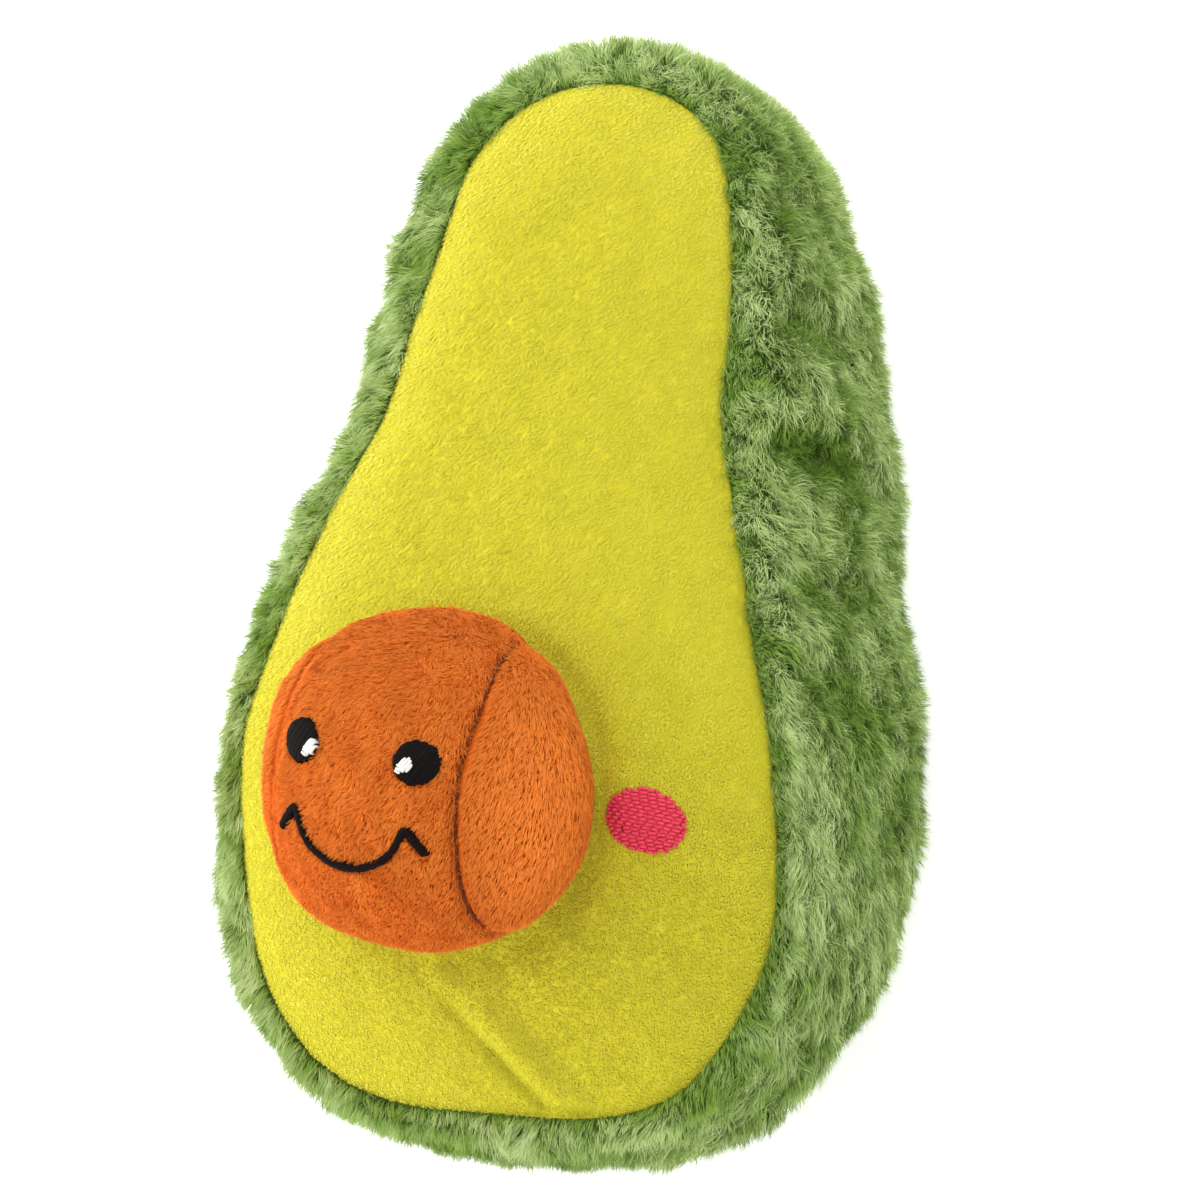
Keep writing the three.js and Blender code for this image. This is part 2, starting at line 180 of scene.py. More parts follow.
def camera():
    ca, sa, ce, se = math.cos(AZIMUTH), math.sin(AZIMUTH), math.cos(ELEVATION), math.sin(ELEVATION)
    back = np.array([sa * ce, -ca * ce, se])
    right = np.array([ca, sa, 0.0])
    up = np.cross(back, right)
    image_right = right * math.cos(ROLL) + up * math.sin(ROLL)
    image_up = up * math.cos(ROLL) - right * math.sin(ROLL)
    data = bpy.data.cameras.new("camera")
    data.sensor_width = 36.0
    data.lens = PIXELS_PER_MM * DISTANCE / IMAGE * data.sensor_width
    data.shift_x = (IMAGE / 2 - AIM_PIXEL[0]) / IMAGE
    data.shift_y = (AIM_PIXEL[1] - IMAGE / 2) / IMAGE
    data.clip_start = 0.05
    data.clip_end = 20.0
    cam = bpy.data.objects.new("camera", data)
    bpy.context.scene.collection.objects.link(cam)
    columns = [world_direction(v) for v in (image_right, image_up, back)]
    turn = Matrix([[c[i] for c in columns] for i in range(3)]).to_4x4()
    cam.matrix_world = Matrix.Translation(Vector(world(AIM + back * DISTANCE))) @ turn
    bpy.context.scene.camera = cam


def unit(v):
    return v / np.maximum(np.linalg.norm(v, axis=-1, keepdims=True), 1e-12)


def eased(t):
    """From 0 to 1, slow at both ends."""
    t = np.clip(t, 0, 1)
    return t * t * (3 - 2 * t)


def hump(value, middle, width):
    """1 at the middle and falling off smoothly on both sides."""
    return np.exp(-(((value - middle) / width) ** 2))


def taper(z, top, foot):
    """A share of a size: 1 at the middle of the height, less or more towards the ends."""
    return 1 - (1 - top) * eased((z / HEIGHT - 0.4) / 0.6) - (1 - foot) * eased((0.35 - z / HEIGHT) / 0.35)


def front_depth(z):
    return FRONT_DEPTH * taper(z, 0.37, 0.27)


def back_depth(z):
    return BACK_DEPTH * taper(z, 1, 0.41)


def rim_width(z):
    return RIM * taper(z, 1.18, 0.72)


def spline(points, count, closed):
    """Points evenly spaced along a smooth curve through the given ones."""
    p = np.asarray(points, float)
    n = len(p)
    ext = np.vstack([p[-1], p, p[0], p[1]]) if closed else np.vstack([2 * p[0] - p[1], p, 2 * p[-1] - p[-2]])
    spans = n if closed else n - 1
    out = []

    def between(u, v, at_u, at_v):
        return (v - t) / (v - u) * at_u + (t - u) / (v - u) * at_v

    for i in range(spans):
        a, b, c, d = ext[i:i + 4]
        t0 = 0.0
        t1 = t0 + max(np.linalg.norm(b - a), 1e-9) ** 0.5
        t2 = t1 + max(np.linalg.norm(c - b), 1e-9) ** 0.5
        t3 = t2 + max(np.linalg.norm(d - c), 1e-9) ** 0.5
        t = np.linspace(t1, t2, 40, endpoint=False)[:, None]
        a1, a2, a3 = between(t0, t1, a, b), between(t1, t2, b, c), between(t2, t3, c, d)
        out.append(between(t1, t2, between(t0, t2, a1, a2), between(t1, t3, a2, a3)))
    dense = np.vstack(out + [p[:1] if closed else p[-1:]])
    run = np.concatenate([[0], np.cumsum(np.linalg.norm(np.diff(dense, axis=0), axis=1))])
    at = np.linspace(0, run[-1], count + 1)[:-1] if closed else np.linspace(0, run[-1], count)
    return np.stack([np.interp(at, run, dense[:, k]) for k in range(p.shape[1])], -1)


def rounded(ring, reach):
    """A closed ring of points smoothed over a few neighbours."""
    k = np.exp(-0.5 * (np.arange(-3 * reach, 3 * reach + 1) / reach) ** 2)
    k /= k.sum()
    wrapped = np.concatenate([ring[-3 * reach:], ring, ring[:3 * reach]])
    return np.stack([np.convolve(c, k, "valid") for c in wrapped.T], -1)


AROUND = 720
RIGHT = [(across * HALF_WIDTH, up * HEIGHT) for up, across in OUTLINE]
LEFT = [(-x, z) for x, z in RIGHT[-2:0:-1]]
EDGE = rounded(spline(RIGHT + LEFT, AROUND, True), 4)
STEP = np.roll(EDGE, -1, 0) - np.roll(EDGE, 1, 0)
OUT = np.stack([STEP[:, 1], -STEP[:, 0]], -1)
OUT /= np.linalg.norm(OUT, axis=1, keepdims=True)
SECTION = spline(WALL, 41, False)


def crown(height, neck_share, spine_z, share):
    """How far a padded side bulges over its edge: all of its height at the spine, 0 at the edge."""
    neck = eased((spine_z - SPINE_LOW) / (SPINE_HIGH - SPINE_LOW))
    return height * (1 - (1 - neck_share) * neck) * np.clip(1 - share ** 2.2, 0, 1) ** 0.7


HALF = AROUND // 2


def shifts(table):
    way = np.interp(np.arange(AROUND) / AROUND, *zip(*table), period=1)
    return rounded(way[:, None], 5)


FRONT_EDGE = EDGE + OUT * shifts(EDGE_SHIFTS)
WALL_EDGE = EDGE + OUT * shifts(WALL_SHIFTS)
HALVES = [FRONT_EDGE[:HALF + 1], FRONT_EDGE[np.r_[0, AROUND - 1:HALF - 1:-1]] * [-1, 1]]


def share_at(x, z):
    """How far a point of the face is from the spine out to the edge, and its spine's height."""
    x, z = np.asarray(x, float), np.asarray(z, float)
    spine = np.clip(z, SPINE_LOW, SPINE_HIGH)
    sides = []
    for edge in HALVES:
        edge_x, edge_z = edge[:, 0], np.maximum.accumulate(edge[:, 1])
        share = np.abs(x) / np.interp(z, edge_z, edge_x)
        for foot, at in ((SPINE_LOW, z < SPINE_LOW), (SPINE_HIGH, z > SPINE_HIGH)):
            angle = np.arctan2(edge_z - foot, edge_x)
            order = np.argsort(angle)
            far = np.hypot(edge_z - foot, edge_x)
            reach = np.interp(np.arctan2(z - foot, np.abs(x)), angle[order], far[order])
            share = np.where(at, np.hypot(x, z - foot) / reach, share)
        sides.append(share)
    return np.where(x >= 0, *sides), spine


def twisted(a, b, way=1):
    """Turned in the face's plane by the pit's twist, or back by it where way is -1."""
    cw, sw = math.cos(PIT_TWIST), math.sin(PIT_TWIST) * way
    return a * cw + b * sw, b * cw - a * sw


def front_relief(x, z):
    """The dart at the foot, the pull of the pit's seam, the gathers under it and a slight unevenness."""
    way = DART_TIP - DART_TOE
    length = np.linalg.norm(way)
    way = way / length
    along = ((x - DART_TOE[0]) * way[0] + (z - DART_TOE[1]) * way[1]) / length
    across = (x - DART_TOE[0]) * way[1] - (z - DART_TOE[1]) * way[0]
    fade = eased((1.9 - along) / 1.5) * eased((along + 0.7) / 0.3)
    relief = fade * (2.6 * hump(across, 3.4, 3.2) - 2.4 * hump(across, -0.5, 1.6))
    a, b = twisted(x - PIT_CENTRE[0], z - PIT_CENTRE[2] - 1.8, -1)
    past = np.hypot(a, b) - PIT_RADIUS + 1.6
    turn = np.arctan2(b, a) + 1.3
    relief = relief - 1.5 * hump(past, 0, 3.5)
    relief = relief + 0.5 * np.cos(turn * 21) * hump(turn, 0, 0.4) * hump(past, 3, 4.5)
    return relief + 0.35 * lumps(np.stack([x, 0 * x, z], -1), 38.0, 17)


def front_y(x, z):
    """The yellow face's surface over a point of it."""
    x, z = np.asarray(x, float), np.asarray(z, float)
    share, spine = share_at(x, z)
    share = np.minimum(share, 1)
    relief = front_relief(x, z) * eased((1 - share) * 35)
    return -front_depth(z) - crown(FRONT_CROWN, 0.6, spine, share) - relief


def numbered(grid):
    return np.arange(grid.shape[0] * grid.shape[1]).reshape(grid.shape[:2])


def cells(index):
    """The quads of a grid of point numbers."""
    return np.stack([index[:-1, :-1], index[:-1, 1:], index[1:, 1:], index[1:, :-1]], -1).reshape(-1, 4)


def polygons(name, points, *groups):
    """A smooth mesh object. The faces of each group have the same count of sides."""
    mesh = bpy.data.meshes.new(name)
    mesh.vertices.add(len(points))
    mesh.vertices.foreach_set("co", world(points).astype(np.float32).ravel())
    loops = np.concatenate([faces.ravel() for faces in groups])
    mesh.loops.add(len(loops))
    mesh.loops.foreach_set("vertex_index", loops.astype(np.int32))
    sides = np.concatenate([np.full(len(faces), faces.shape[1]) for faces in groups])
    mesh.polygons.add(len(sides))
    mesh.polygons.foreach_set("loop_start", (np.cumsum(sides) - sides).astype(np.int32))
    mesh.polygons.foreach_set("use_smooth", np.ones(len(sides), bool))
    mesh.update(calc_edges=True)
    obj = bpy.data.objects.new(name, mesh)
    bpy.context.scene.collection.objects.link(obj)
    return obj


def grid_mesh(name, points, closed_rows):
    """A mesh from rows of points that each run round, and whose last row may join the first."""
    index = numbered(points)
    index = np.concatenate([index, index[:, :1]], 1)
    if closed_rows:
        index = np.concatenate([index, index[:1]], 0)
    return polygons(name, points.reshape(-1, 3), cells(index))


def grid_normals(points, closed_columns):
    """Normals of a grid of points, on the side that its rows and columns wind towards."""
    across = np.roll(points, -1, 1) - np.roll(points, 1, 1)
    if not closed_columns:
        across[:, 0] = points[:, 1] - points[:, 0]
        across[:, -1] = points[:, -1] - points[:, -2]
    down = np.empty_like(points)
    down[1:-1] = points[2:] - points[:-2]
    down[0] = points[1] - points[0]
    down[-1] = points[-1] - points[-2]
    return unit(np.cross(down, across))


def lumps(points, size, seed, octaves=2):
    """Smooth noise from -1 to 1 over points, from a few turned waves."""
    rng = np.random.default_rng(seed)
    total, weight = np.zeros(points.shape[:-1]), 0.0
    for octave in range(octaves):
        scale = size / 2 ** octave
        part = np.zeros(points.shape[:-1])
        for _ in range(7):
            way = rng.normal(size=3)
            way *= 2 * math.pi / scale / np.linalg.norm(way) * rng.uniform(0.6, 1.3)
            part += np.sin(points @ way + rng.uniform(0, 2 * math.pi))
        total += part / 2.6 / 1.6 ** octave
        weight += 1 / 1.6 ** octave
    return total / weight


def shell(name, outer, thickness, closed_columns, inward, capped=False):
    """A closed skin: an outer grid, an inner one behind it and the rims between them."""
    inner = outer + inward * thickness
    if closed_columns:
        return grid_mesh(name, np.concatenate([outer, inner[::-1]], 0), not capped)
    index = numbered(outer)
    count = index.size
    quads = cells(index)
    border = np.concatenate([index[0, :-1], index[:-1, -1], index[-1, :0:-1], index[:0:-1, 0]])
    following = np.roll(border, -1)
    sides = np.stack([following, border, border + count, following + count], -1)
    faces = np.concatenate([quads, quads[:, ::-1] + count, sides])
    return polygons(name, np.concatenate([outer.reshape(-1, 3), inner.reshape(-1, 3)]), faces)


# Materials
def material(name):
    m = bpy.data.materials.new(name)
    m.use_nodes = True
    tree = m.node_tree
    return m, tree, tree.nodes["Principled BSDF"]


def noise(tree, coords, scale, detail=3.0, roughness=0.6, distortion=0.0):
    n = tree.nodes.new("ShaderNodeTexNoise")
    n.inputs["Scale"].default_value = scale
    n.inputs["Detail"].default_value = detail
    n.inputs["Roughness"].default_value = roughness
    n.inputs["Distortion"].default_value = distortion
    tree.links.new(coords, n.inputs["Vector"])
    return n.outputs["Fac"]


def ramp(tree, value, stops):
    n = tree.nodes.new("ShaderNodeValToRGB")
    elements = n.color_ramp.elements
    while len(elements) < len(stops):
        elements.new(0.5)
    for element, (at, colour) in zip(elements, stops):
        element.position = at
        element.color = (*colour, 1)
    tree.links.new(value, n.inputs["Fac"])
    return n.outputs["Color"]


def mixed(tree, factor, a, b, kind="MIX"):
    n = tree.nodes.new("ShaderNodeMix")
    n.data_type = "RGBA"
    n.blend_type = kind
    if isinstance(factor, float):
        n.inputs[0].default_value = factor
    else:
        tree.links.new(factor, n.inputs[0])
    tree.links.new(a, n.inputs[6])
    tree.links.new(b, n.inputs[7])
    return n.outputs[2]


def turned_coords(tree, angle, squeeze):
    """Object coordinates turned about Z and stretched along the turned X."""
    coords = tree.nodes.new("ShaderNodeTexCoord").outputs["Object"]
    n = tree.nodes.new("ShaderNodeMapping")
    n.vector_type = "TEXTURE"
    n.inputs["Rotation"].default_value = (0, 0, angle)
    n.inputs["Scale"].default_value = (squeeze, 1, 1)
    tree.links.new(coords, n.inputs["Vector"])
    return n.outputs["Vector"]


def bump(tree, shader, height, strength, distance):
    n = tree.nodes.new("ShaderNodeBump")
    n.inputs["Strength"].default_value = strength
    n.inputs["Distance"].default_value = distance
    tree.links.new(height, n.inputs["Height"])
    tree.links.new(n.outputs["Normal"], shader.inputs["Normal"])


def linear(r, g, b):
    return tuple(((c / 255 + 0.055) / 1.055) ** 2.4 if c > 10 else c / 255 / 12.92 for c in (r, g, b))


def plush(name, dark, mid, light, grain, height):
    """The backing of a short pile, with a grain along the nap."""
    m, tree, shader = material(name)
    coords = turned_coords(tree, math.radians(55), 3.0)
    fine = noise(tree, coords, 1000 / grain, 4, 0.65, 0.4)
    broad = noise(tree, tree.nodes.new("ShaderNodeTexCoord").outputs["Object"], 90, 3, 0.55)
    colour = ramp(tree, fine, [(0.3, dark), (0.5, mid), (0.72, light)])
    shade = ramp(tree, broad, [(0.3, (0.88, 0.88, 0.85)), (0.7, (1, 1, 1))])
    tree.links.new(mixed(tree, 1.0, colour, shade, "MULTIPLY"), shader.inputs["Base Color"])
    shader.inputs["Roughness"].default_value = 0.9
    shader.inputs["Sheen Weight"].default_value = 0.1
    shader.inputs["Sheen Roughness"].default_value = 0.5
    shader.inputs["Sheen Tint"].default_value = (*light, 1)
    shader.inputs["Specular IOR Level"].default_value = 0.1
    bump(tree, shader, fine, 0.5, height * MM)
    return m


def strand_material(name, root, middle, tip, other_root, other_middle, other_tip, sheen=0.12):
    """Fibres: V of the bake layout runs from root to tip and U from one tone to the other."""
    m, tree, shader = material(name)
    uv = tree.nodes.new("ShaderNodeUVMap")
    uv.uv_map = "OFBake"
    split = tree.nodes.new("ShaderNodeSeparateXYZ")
    tree.links.new(uv.outputs["UV"], split.inputs["Vector"])
    one = ramp(tree, split.outputs["Y"], [(0.0, root), (0.45, middle), (1.0, tip)])
    two = ramp(tree, split.outputs["Y"], [(0.0, other_root), (0.45, other_middle), (1.0, other_tip)])
    tree.links.new(mixed(tree, split.outputs["X"], one, two), shader.inputs["Base Color"])
    shader.inputs["Roughness"].default_value = 0.8
    shader.inputs["Sheen Weight"].default_value = sheen
    shader.inputs["Sheen Tint"].default_value = (*other_tip, 1)
    shader.inputs["Specular IOR Level"].default_value = 0.12
    return m


def plain_material(name, dark, light, roughness, scale=60, detail=4, rough=0.55, relief=0.15, shine=0.5):
    """A finish that wanders between two tones, with a slight relief."""
    m, tree, shader = material(name)
    coords = tree.nodes.new("ShaderNodeTexCoord").outputs["Object"]
    cloud = noise(tree, coords, scale, detail, rough)
    tree.links.new(ramp(tree, cloud, [(0.3, dark), (0.7, light)]), shader.inputs["Base Color"])
    shader.inputs["Roughness"].default_value = roughness
    shader.inputs["Specular IOR Level"].default_value = shine
    bump(tree, shader, cloud, relief, 0.1 * MM)
    return m


def thread_material(name, dark, light, grain=0.5, roughness=0.45, shine=0.25):
    return plain_material(name, dark, light, roughness, 1000 / grain, 3, 0.6, 0.3, shine)


def paint(obj, mat):
    obj.data.materials.clear()
    obj.data.materials.append(mat)


def dress(obj, mat, nodes=(), squashed=False):
    """A piece's material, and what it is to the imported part."""
    paint(obj, mat)
    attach(obj, "toy")
    if nodes:
        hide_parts(*nodes)
    if squashed:
        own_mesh(obj)


# Fibres
def scattered(points, normals, density, rng, closed_columns):
    """Random places on a grid of points: places, normals and the grid's (row, column) there."""
    if closed_columns:
        points = np.concatenate([points, points[:, :1]], 1)
        normals = np.concatenate([normals, normals[:, :1]], 1)
    a, b, c, d = points[:-1, :-1], points[:-1, 1:], points[1:, 1:], points[1:, :-1]
    area = np.linalg.norm(np.cross(c - a, d - b), axis=-1) / 2
    weight = area * (density if np.isscalar(density) else density[:-1, :area.shape[1]])
    count = rng.poisson(weight.sum())
    pick = np.searchsorted(np.cumsum(weight.ravel()), rng.uniform(0, weight.sum(), count))
    pick = np.minimum(pick, weight.size - 1)
    row, column = np.divmod(pick, weight.shape[1])
    u, v = rng.uniform(size=(2, count, 1))

    def blend(f):
        return ((1 - u) * (1 - v) * f[row, column] + u * (1 - v) * f[row, column + 1]
                + u * v * f[row + 1, column + 1] + (1 - u) * v * f[row + 1, column])

    return blend(points), unit(blend(normals)), row + v[:, 0], column + u[:, 0]


def clumped(roots, tips, spacing, pull, rng):
    """Tips drawn towards the tip of a leading strand near them."""
    count = max(1, int(len(roots) / (spacing ** 2)))
    leaders = rng.choice(len(roots), count, replace=False)
    tree = KDTree(count)
    for i, leader in enumerate(leaders):
        tree.insert(roots[leader], i)
    tree.balance()
    nearest = np.array([tree.find(r)[1] for r in roots])
    lead = leaders[nearest]
    return tips + (tips[lead] - tips) * pull[:, None], nearest


def strand_mesh(name, roots, normals, tips, width, tone, rng, lift=0.55, levels=(0.0, 0.4, 0.75), flat=0.4):
    """Tapered ribbons from roots to tips, as pieces of a limited size."""
    pieces = []
    joints = len(levels)
    tip = 2 * joints
    length = np.linalg.norm(tips - roots, axis=1, keepdims=True)
    middle = roots + normals * length * lift
    order = np.argsort(roots[:, 2], kind="stable")
    groups = np.array_split(order, max(1, math.ceil(len(roots) * (tip - 1) / MOST_FACES)))
    spin = rng.normal(0, flat, len(roots))
    for g, group in enumerate(groups):
        r, m, t, n = roots[group], middle[group], tips[group], normals[group]
        w, turn = width[group][:, None], spin[group][:, None]
        rows = []
        for level in levels:
            centre = (1 - level) ** 2 * r + 2 * level * (1 - level) * m + level ** 2 * t
            along = unit(2 * (1 - level) * (m - r) + 2 * level * (t - m) + 1e-6)
            side = unit(np.cross(along, n) + 1e-6)
            side = side * np.cos(turn) + unit(np.cross(side, along)) * np.sin(turn)
            share = 0.8 + 1.0 * level - 1.6 * level ** 2
            rows += [centre - side * w * share / 2, centre + side * w * share / 2]
        points = np.stack(rows + [t], 1)
        # No strand reaches under the toy
        points[..., 1] = np.minimum(points[..., 1], BACK_REACH - 0.05)
        base = np.arange(len(group))[:, None] * (tip + 1)
        corners = np.array([[2 * k, 2 * k + 1, 2 * k + 3, 2 * k + 2] for k in range(joints - 1)])
        quads = (base[:, :, None] + corners).reshape(-1, 4)
        tris = base + [tip - 2, tip - 1, tip]
        piece = polygons(f"{name}_{g + 1}" if len(groups) > 1 else name, points.reshape(-1, 3), quads, tris)
        along = np.tile([*np.repeat(levels, 2), 1.0], len(group))
        # Both sides of a ribbon differ a little in tone, so that it has a width in the layout
        nudge = np.tile(np.array([-1, 1] * joints + [0]) * 0.004, len(group))
        uv = np.clip(np.stack([np.repeat(tone[group], tip + 1) + nudge, along], -1), 0.01, 0.99)
        loops = np.concatenate([quads.ravel(), tris.ravel()])
        layer = piece.data.uv_layers.new(name="OFBake")
        layer.data.foreach_set("uv", uv[loops].astype(np.float32).ravel())
        pieces.append(piece)
    return pieces


# Camera, light and floor
camera()

FLOOR_SIZE = 6.0
FLOOR_GLOW = 0.5
SKY_STRENGTH = 1.28
bpy.ops.mesh.primitive_plane_add(size=FLOOR_SIZE, location=(0, 0, 0))
floor = bpy.context.object
floor.name = "floor"
floor_mat, tree, shader = material("floor")
shader.inputs["Base Color"].default_value = (0.8, 0.8, 0.8, 1)
shader.inputs["Roughness"].default_value = 0.9
shader.inputs["Specular IOR Level"].default_value = 0.1
shader.inputs["Emission Color"].default_value = (1, 1, 1, 1)
shader.inputs["Emission Strength"].default_value = FLOOR_GLOW
floor.data.materials.append(floor_mat)

sky = bpy.data.worlds.new("studio")
sky.use_nodes = True
sky.node_tree.nodes["Background"].inputs["Color"].default_value = (1, 1, 1, 1)
sky.node_tree.nodes["Background"].inputs["Strength"].default_value = SKY_STRENGTH
bpy.context.scene.world = sky


def area_light(name, place, power):
    """A soft round lamp that shines on the toy."""
    data = bpy.data.lights.new(name, "AREA")
    data.shape = "DISK"
    data.size = 0.9
    data.energy = power
    light = bpy.data.objects.new(name, data)
    light.location = place
    light.rotation_mode = "QUATERNION"
    light.rotation_quaternion = (Vector((0, 0, 0.05)) - Vector(place)).to_track_quat("-Z", "Y")
    bpy.context.scene.collection.objects.link(light)


area_light("key", (-1.2, 0.1, 0.7), 13)
area_light("top", (0.1, 1.2, 0.8), 5)

# The axis of a press on the pit, towards a place behind its middle
PRESS_NORMAL = np.array([0, -math.cos(PIT_TILT), -math.sin(PIT_TILT)])
PRESS_AXIS = tuple(world_direction(PRESS_NORMAL))

# Yellow face
rings = np.sin(np.linspace(0, 1, 70) * math.pi / 2)[:, None]
spine_z = np.clip(EDGE[:, 1], SPINE_LOW, SPINE_HIGH)


def spread(edge):
    """Places from the spine out to an edge, across and up."""
    return rings * edge[:, 0], spine_z + rings * (edge[:, 1] - spine_z)


face_x, face_z = spread(FRONT_EDGE)
face = np.stack([face_x, front_y(face_x, face_z), face_z], -1)
face_normals = grid_normals(face, True)
face_normals *= np.where(face_normals[..., 1:2] > 0, -1, 1)
yellow = plush("yellow_plush", linear(194, 186, 38), linear(204, 196, 46), linear(216, 208, 62), 1.2, 0.3)


def welded(obj):
    """Points of one place made one, so that the spine shades smoothly."""
    work = bmesh.new()
    work.from_mesh(obj.data)
    bmesh.ops.remove_doubles(work, verts=work.verts, dist=0.004 * MM)
    work.to_mesh(obj.data)
    work.free()
    return obj


front = shell("front_panel_plush", face, FACE_CLOTH, True, BACKWARDS, True)
dress(welded(front), yellow, nodes=["front_panel"])

# Green wall and back. The rim leaves the sewn edge for the wall's own over its first rows
SEWN_ROWS = 38
wall_rows = []
for side_depth, sign, section in ((front_depth, -1, SECTION), (back_depth, 1, SECTION[-2::-1])):
    for out, deep in section:
        sewn = eased(1 - len(wall_rows) / SEWN_ROWS)
        edge = FRONT_EDGE * sewn + WALL_EDGE * (1 - sewn)
        at = edge + OUT * (out * rim_width(EDGE[:, 1]))[:, None]
        wall_rows.append(np.stack([at[:, 0], sign * deep * side_depth(EDGE[:, 1]), at[:, 1]], -1))
wall = np.array(wall_rows)
out_ways = np.stack([OUT[:, 0], 0 * OUT[:, 0], OUT[:, 1]], -1)


def wall_facing(points):
    n = grid_normals(points, True)
    return n if (n[40] * out_ways).sum() > 0 else -n


from_seam = np.concatenate([[0], np.cumsum(np.linalg.norm(np.diff(wall, axis=0), axis=-1).mean(1))])
from_seam = from_seam[:, None] + np.zeros((1, AROUND))
to_back = from_seam[-1] - from_seam
relief = 1.1 * lumps(wall, 34.0, 8) * eased(from_seam / 12)
# A ridge beside the seam with a valley behind it
ridge = hump(from_seam, 6, 3) - 1.2 * hump(from_seam, 14, 3.5)
relief += ridge * (0.5 + 0.5 * lumps(wall, 16.0, 9))
sunk = 0 * relief
for height, rise, width, depth in CREASES:
    line = height + rise * wall[..., 1] + 1.5 * lumps(wall, 24.0, 10)
    here = eased(OUT[:, 0] * 3 - 0.6) * eased((from_seam - 7) / 10) * eased((40 - wall[..., 1]) / 30)
    sunk += depth * hump(wall[..., 2], line, width) * here
relief -= sunk
relief *= eased(np.minimum(from_seam, to_back) / 6)
wall += wall_facing(wall) * relief[..., None]
wall_normals = wall_facing(wall)
pile = WALL_PILE * eased(np.minimum(from_seam, to_back) / 7.5 + 0.12)
skin = wall - wall_normals * pile[..., None]
under = plain_material("green_backing", linear(62, 92, 22), linear(88, 122, 42), 0.95)
gusset = shell("side_gusset_cloth", skin[:, ::2], WALL_CLOTH, True, -wall_normals[:, ::2])
dress(gusset, under, nodes=["side_gusset"])

back_x, back_z = spread(WALL_EDGE)
back_y = back_depth(back_z) + crown(BACK_CROWN, 1, spine_z, rings)
back = np.stack([back_x, np.minimum(back_y, BACK_REACH), back_z], -1)
back_normals = grid_normals(back, True)
back_normals *= np.where(back_normals[..., 1:2] < 0, -1, 1)
back_pile = BACK_PILE * eased((1 - rings) * 5 + 0.12)
back_skin = back - back_normals * back_pile[..., None]
back_cloth = shell("back_panel_cloth", back_skin[:, ::-1], WALL_CLOTH, True, -back_normals[:, ::-1], True)
dress(welded(back_cloth), under, nodes=["back_panel"])


def fur(name, roots, normals, lean, length, tone, rng, stand, width):
    """Long strands in tufts: stand is how upright they are."""
    count = len(roots)
    lean = lean - normals * (lean * normals).sum(-1, keepdims=True)
    wave = np.stack([lumps(roots, 9.0, 31 + k) for k in range(3)], -1)
    way = unit(normals * stand + lean + wave * 0.4 + rng.normal(0, 0.27, (count, 3)))
    tips = roots + way * (length * rng.uniform(0.75, 1.1, count))[:, None]
    tips, lead = clumped(roots, tips, 4.0, rng.uniform(0.0, 0.5, count), rng)
    tufts = lead.max() + 1
    tips = tips + rng.normal(0, 0.35, (tufts, 3))[lead]
    tone = tone + 0.2 * lumps(roots, 5.0, 12, 1) + rng.normal(0, 0.1, tufts)[lead]
    tone += rng.normal(0, 0.07, count)
    widths = width * rng.uniform(0.8, 1.2, count)
    for piece in strand_mesh(name, roots, normals, tips, widths, np.clip(tone, 0, 1), rng):
        dress(piece, green_pile)


green_pile = strand_material(
    "green_pile",
    linear(54, 84, 16), linear(102, 138, 42), linear(150, 181, 80),
    linear(102, 131, 54), linear(171, 197, 112), linear(213, 227, 166),
    0.1,
)
rng = np.random.default_rng(11)
thick = np.where(from_seam < 9, 1.35, 1.0) * WALL_DENSITY
roots, normals, row, column = scattered(skin, wall_normals, thick, rng, True)
row_i = np.minimum(np.round(row).astype(int), len(wall) - 1)
column_i = np.minimum(column.astype(int), AROUND - 1)
outward = out_ways[column_i]
seam_gap = np.interp(row, np.arange(len(wall)), from_seam[:, 0])
back_gap = from_seam[-1, 0] - seam_gap
near = eased(np.minimum(seam_gap, back_gap) / 8)
fall = 1 - np.clip(outward[:, 2:], 0, 1)
lean = outward * 0.4 - BACKWARDS * (0.2 * near)[:, None] + DOWN * (0.8 * fall)
stand = 0.5 + 0.15 * near[:, None]
hollow = sunk[row_i, column_i]
right_side = eased(outward[:, 0] * 2 + 0.6)
length = 4.2 + 1.4 * near - 1.2 * (1 - near) * right_side - 0.3 * hollow
# Tone: random lumps, plus painted shade in the creases, low on the right wall, on the left, towards the foot
# and in the right side's seam, and painted light higher up on the right wall, past the seam on the right and
# at the top
tone = 0.53 + 0.45 * lumps(roots, 30.0, 5) + 0.3 * lumps(roots, 10.0, 6) - 0.24 * hollow
far_right = eased(outward[:, 0] * 2 - 0.6)
tone -= 0.3 * far_right * hump(roots[:, 2], 72, 34) * eased((seam_gap - 12) / 8)
tone += (
    0.12 * eased((roots[:, 2] - 190) / 25) + 0.2 * far_right * hump(roots[:, 2], 160, 22)
    - 0.1 * eased(-outward[:, 0] * 2)
)
tone += 0.22 * eased((seam_gap - 8) / 10) * eased(outward[:, 0] * 3) - 0.08 * eased(-outward[:, 2] * 2)
tone -= 0.7 * hump(seam_gap, 0, 2.4) * right_side
fur("gusset_pile", roots, normals, lean, length, tone, rng, stand, WALL_STRAND)
roots, normals, _, _ = scattered(back_skin, back_normals, BACK_DENSITY, rng, True)
tone = 0.45 + 0.3 * lumps(roots, 30.0, 5) + 0.2 * lumps(roots, 11.0, 6)
nap = np.tile(DOWN * 0.9, (len(roots), 1))
fur("back_pile", roots, normals, nap, BACK_LENGTH, tone, rng, 0.55, BACK_STRAND)


# Pit
def on_pit(a, deep, b):
    """From the pit's own frame to the upright one."""
    ct, st = math.cos(PIT_TILT), math.sin(PIT_TILT)
    y, b = deep * ct - b * st, deep * st + b * ct
    x, z = twisted(a, b)
    return np.stack([x, y, z], -1) + PIT_CENTRE


